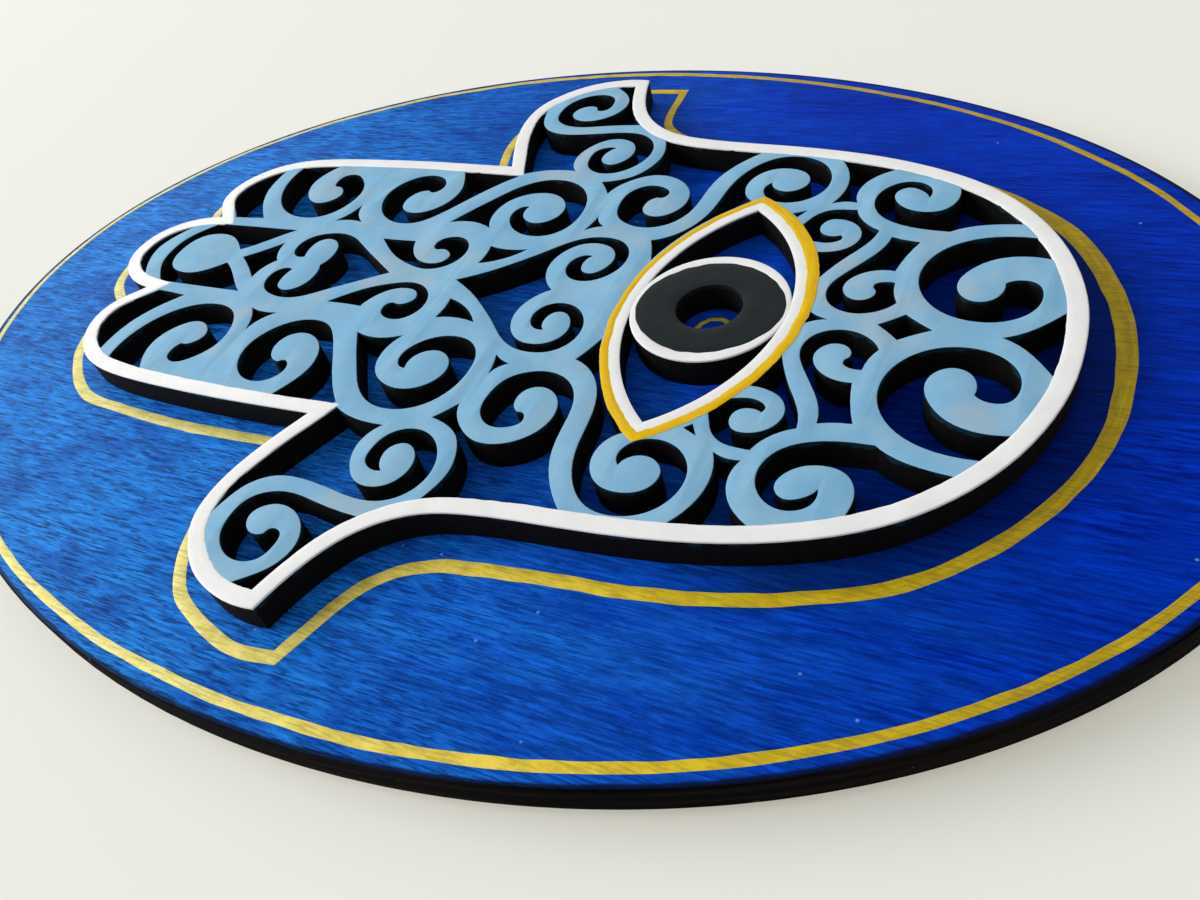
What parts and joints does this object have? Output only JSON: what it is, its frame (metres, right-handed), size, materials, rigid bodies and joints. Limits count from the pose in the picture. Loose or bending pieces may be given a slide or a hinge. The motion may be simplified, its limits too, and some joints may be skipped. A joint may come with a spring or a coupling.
{
  "type": "hamsa wall plaque",
  "caption": "Oval stained-plywood wall plaque carrying a laser-cut fretwork hand with scrollwork and an eye, hung by a sawtooth hanger with felt pads at the back",
  "frame": {"origin": "bottom centre of the bounding box: the plane of the wall that the pads and the hanger rest on, below the middle of the oval board", "axes": "+Y along the board's long axis from the wrist to the fingertips, +X to the viewer's right, +Z out of the painted face"},
  "size_m": [0.21, 0.3, 0.0152],
  "materials": {
    "stained_plywood": "ultramarine stain under a satin varnish, the edge painted black",
    "painted_fibreboard": "light blue brushed acrylic on the face, laser-charred black on the cut walls",
    "hanger_steel": "zinc plated sheet",
    "nail_steel": "zinc plated",
    "felt": "dark wool felt"
  },
  "bodies": {
    "root": {"backboard": "stained_plywood", "hamsa_panel": "painted_fibreboard", "sawtooth_hanger": "hanger_steel", "hanger_nails": "nail_steel", "bumper_pad_left": "felt", "bumper_pad_right": "felt"}
  },
  "joints": []
}
